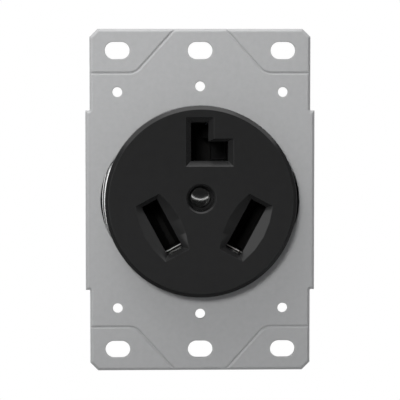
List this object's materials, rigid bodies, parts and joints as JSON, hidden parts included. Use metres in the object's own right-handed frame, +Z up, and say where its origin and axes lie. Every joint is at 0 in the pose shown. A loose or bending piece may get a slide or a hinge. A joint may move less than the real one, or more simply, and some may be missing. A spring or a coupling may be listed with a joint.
{
  "type": "three-slot dryer outlet",
  "caption": "Flush dryer outlet: plated steel wall-box strap with a round black face, an L slot and slanted blade slots, box-lug terminals behind.",
  "frame": {"origin": "centre of the mounting strap, on its back face, where it bears on the wall box", "axes": "+X right seen from the front, +Y into the wall, +Z up; the face looks along -Y"},
  "size_m": [0.0638, 0.0391, 0.0952],
  "materials": {
    "strap_steel": "satin zinc plate, fine mottle",
    "face_moulding": "matte moulded, very fine grain",
    "base_moulding": "matte moulded",
    "bridge_steel": "bright plated",
    "rivet_steel": "polished plate",
    "contact_metal": "tinned brass",
    "spring_steel": "blued spring steel",
    "lug_steel": "plated steel",
    "screw_steel": "plated steel"
  },
  "bodies": {
    "root": {"mounting_strap": "strap_steel", "face_cover": "face_moulding", "housing_body": "base_moulding", "wraparound_bridge": "bridge_steel", "centre_rivet": "rivet_steel", "cover_screw_left": "screw_steel", "cover_screw_right": "screw_steel", "contact_top": "contact_metal", "contact_spring_top": "spring_steel", "terminal_lug_top": "lug_steel", "clamp_screw_top": "screw_steel", "pressure_plate_top": "lug_steel", "contact_left": "contact_metal", "contact_spring_left": "spring_steel", "terminal_lug_left": "lug_steel", "clamp_screw_left": "screw_steel", "pressure_plate_left": "lug_steel", "contact_right": "contact_metal", "contact_spring_right": "spring_steel", "terminal_lug_right": "lug_steel", "clamp_screw_right": "screw_steel", "pressure_plate_right": "lug_steel"}
  },
  "joints": []
}
